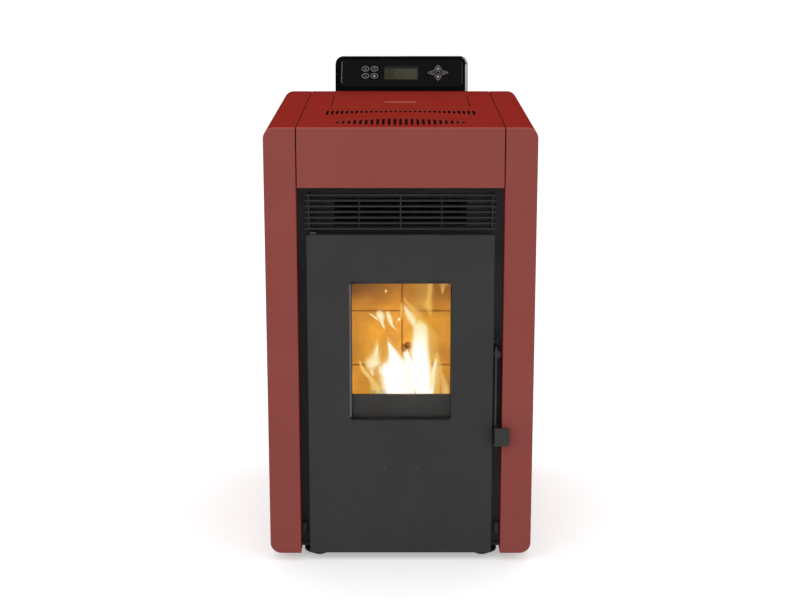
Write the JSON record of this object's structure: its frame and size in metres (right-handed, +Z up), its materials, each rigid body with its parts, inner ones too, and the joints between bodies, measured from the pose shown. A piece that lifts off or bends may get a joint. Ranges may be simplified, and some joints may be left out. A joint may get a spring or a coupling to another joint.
{
  "type": "pellet stove",
  "caption": "Freestanding wood-pellet stove with folded enamelled casing, bladed warm-air outlet, glazed door with side lever, hopper lid and tilted rear console.",
  "frame": {"origin": "centre of the whole object's box at floor level, under the feet", "axes": "+Z up, -Y is the front with the door, +X to the viewer's right"},
  "size_m": [0.48, 0.634, 0.875],
  "materials": {
    "red_enamel": "satin red stove enamel, fine orange peel",
    "anthracite_paint": "matt anthracite heat-proof paint",
    "black_paint": "matt black heat-proof paint",
    "galvanised_steel": "galvanised sheet",
    "cast_iron": "raw grey casting, sooted",
    "firebox_steel": "black steel plate, sooted",
    "firebrick": "buff vermiculite board, matt",
    "door_glass": "clear ceramic glass",
    "rope_seal": "braided glass-fibre rope",
    "zinc_steel": "bright zinc plate",
    "rotor_aluminium": "cast and pressed aluminium",
    "ignitor_ceramic": "ceramic heating rod",
    "board_green": "circuit board",
    "black_plastic": "black moulded plastic",
    "gloss_black": "gloss black moulded plastic",
    "lcd": "unlit olive liquid-crystal display",
    "key_black": "black membrane keys with pale outlines",
    "foot_rubber": "black moulded rubber"
  },
  "bodies": {
    "cabinet": {"air_intake": "galvanised_steel", "auger_gearmotor": "rotor_aluminium", "auger_tube": "galvanised_steel", "baffle_plate": "firebrick", "base_plate": "galvanised_steel", "console_fascia": "gloss_black", "console_housing": "gloss_black", "control_board": "board_green", "door_hinge_pins": "black_paint", "exchanger_tubes": "firebox_steel", "exhaust_fan_housing": "cast_iron", "exhaust_motor": "rotor_aluminium", "feet": "foot_rubber", "firebox_shell": "firebox_steel", "firebox_supports": "galvanised_steel", "flue_spigot": "firebox_steel", "front_frame": "black_paint", "ignitor": "ignitor_ceramic", "latch_keeper": "black_paint", "lcd_screen": "lcd", "lid_hinge": "black_paint", "outlet_grille": "black_paint", "panel_screws": "zinc_steel", "pellet_chute": "galvanised_steel", "pellet_hopper": "galvanised_steel", "pot_cradle": "firebox_steel", "power_inlet": "black_plastic", "rear_firebricks": "firebrick", "rear_panel": "black_paint", "room_fan_housing": "galvanised_steel", "room_fan_motor": "rotor_aluminium", "safety_devices": "black_plastic", "side_firebricks": "firebrick", "side_panel_left": "red_enamel", "side_panel_right": "red_enamel", "smoke_duct": "galvanised_steel", "top_front_cover": "red_enamel"},
    "door": {"door_skin": "anthracite_paint", "door_inner_frame": "cast_iron", "door_glass": "door_glass", "door_seals": "rope_seal", "door_fasteners": "zinc_steel", "handle_pivot": "zinc_steel"},
    "handle": {"handle_lever": "black_paint"},
    "lid": {"hopper_lid": "red_enamel"},
    "pot": {"burn_pot": "cast_iron"},
    "drawer": {"ash_drawer": "firebox_steel"},
    "exhaust_rotor": {"exhaust_impeller": "zinc_steel"},
    "room_rotor": {"room_fan_rotor": "rotor_aluminium"},
    "auger": {"auger_screw": "zinc_steel"},
    "rocker": {"power_switch": "black_plastic"},
    "key_mode": {"key_mode": "key_black"},
    "key_timer": {"key_timer": "key_black"},
    "key_fan": {"key_fan": "key_black"},
    "key_flame": {"key_flame": "key_black"},
    "nav_up": {"nav_up": "key_black"},
    "nav_down": {"nav_down": "key_black"},
    "nav_left": {"nav_left": "key_black"},
    "nav_right": {"nav_right": "key_black"},
    "nav_ok": {"nav_ok": "key_black"}
  },
  "joints": [
    {"name": "door_hinge", "type": "hinge", "parent": "cabinet", "child": "door", "pos_m": [-0.1525, -0.289, 0.3], "axis": [0, 0, -1], "range_deg": [0, 105]},
    {"name": "handle_pull", "type": "hinge", "parent": "door", "child": "handle", "pos_m": [0.1717, -0.2895, 0.393], "axis": [-1, 0, 0], "range_deg": [0, 32]},
    {"name": "lid_hinge", "type": "hinge", "parent": "cabinet", "child": "lid", "pos_m": [0, 0.1725, 0.8015], "axis": [-1, 0, 0], "range_deg": [0, 85]},
    {"name": "pot_lift", "type": "slide", "parent": "cabinet", "child": "pot", "axis": [0, 0, 1], "range_m": [0, 0.05]},
    {"name": "drawer_slide", "type": "slide", "parent": "cabinet", "child": "drawer", "axis": [0, -1, 0], "range_m": [0, 0.04]},
    {"name": "exhaust_spin", "type": "hinge", "parent": "cabinet", "child": "exhaust_rotor", "pos_m": [-0.125, 0.097, 0.135], "axis": [1, 0, 0], "continuous": true},
    {"name": "room_fan_spin", "type": "hinge", "parent": "cabinet", "child": "room_rotor", "pos_m": [0.095, 0.097, 0.105], "axis": [1, 0, 0], "continuous": true},
    {"name": "auger_turn", "type": "hinge", "parent": "cabinet", "child": "auger", "pos_m": [0, 0.147, 0.373], "axis": [0, -0.766, 0.6428], "continuous": true},
    {"name": "power_rocker", "type": "hinge", "parent": "cabinet", "child": "rocker", "pos_m": [0.19, 0.257, 0.118], "axis": [1, 0, 0], "range_deg": [0, 16]},
    {"name": "key_mode_press", "type": "slide", "parent": "cabinet", "child": "key_mode", "axis": [0, 0.9781, -0.2079], "range_m": [0, 0.0008], "stiffness_N_per_m": 300},
    {"name": "key_timer_press", "type": "slide", "parent": "cabinet", "child": "key_timer", "axis": [0, 0.9781, -0.2079], "range_m": [0, 0.0008], "stiffness_N_per_m": 300},
    {"name": "key_fan_press", "type": "slide", "parent": "cabinet", "child": "key_fan", "axis": [0, 0.9781, -0.2079], "range_m": [0, 0.0008], "stiffness_N_per_m": 300},
    {"name": "key_flame_press", "type": "slide", "parent": "cabinet", "child": "key_flame", "axis": [0, 0.9781, -0.2079], "range_m": [0, 0.0008], "stiffness_N_per_m": 300},
    {"name": "nav_up_press", "type": "slide", "parent": "cabinet", "child": "nav_up", "axis": [0, 0.9781, -0.2079], "range_m": [0, 0.0008], "stiffness_N_per_m": 300},
    {"name": "nav_down_press", "type": "slide", "parent": "cabinet", "child": "nav_down", "axis": [0, 0.9781, -0.2079], "range_m": [0, 0.0008], "stiffness_N_per_m": 300},
    {"name": "nav_left_press", "type": "slide", "parent": "cabinet", "child": "nav_left", "axis": [0, 0.9781, -0.2079], "range_m": [0, 0.0008], "stiffness_N_per_m": 300},
    {"name": "nav_right_press", "type": "slide", "parent": "cabinet", "child": "nav_right", "axis": [0, 0.9781, -0.2079], "range_m": [0, 0.0008], "stiffness_N_per_m": 300},
    {"name": "nav_ok_press", "type": "slide", "parent": "cabinet", "child": "nav_ok", "axis": [0, 0.9781, -0.2079], "range_m": [0, 0.0008], "stiffness_N_per_m": 300}
  ]
}
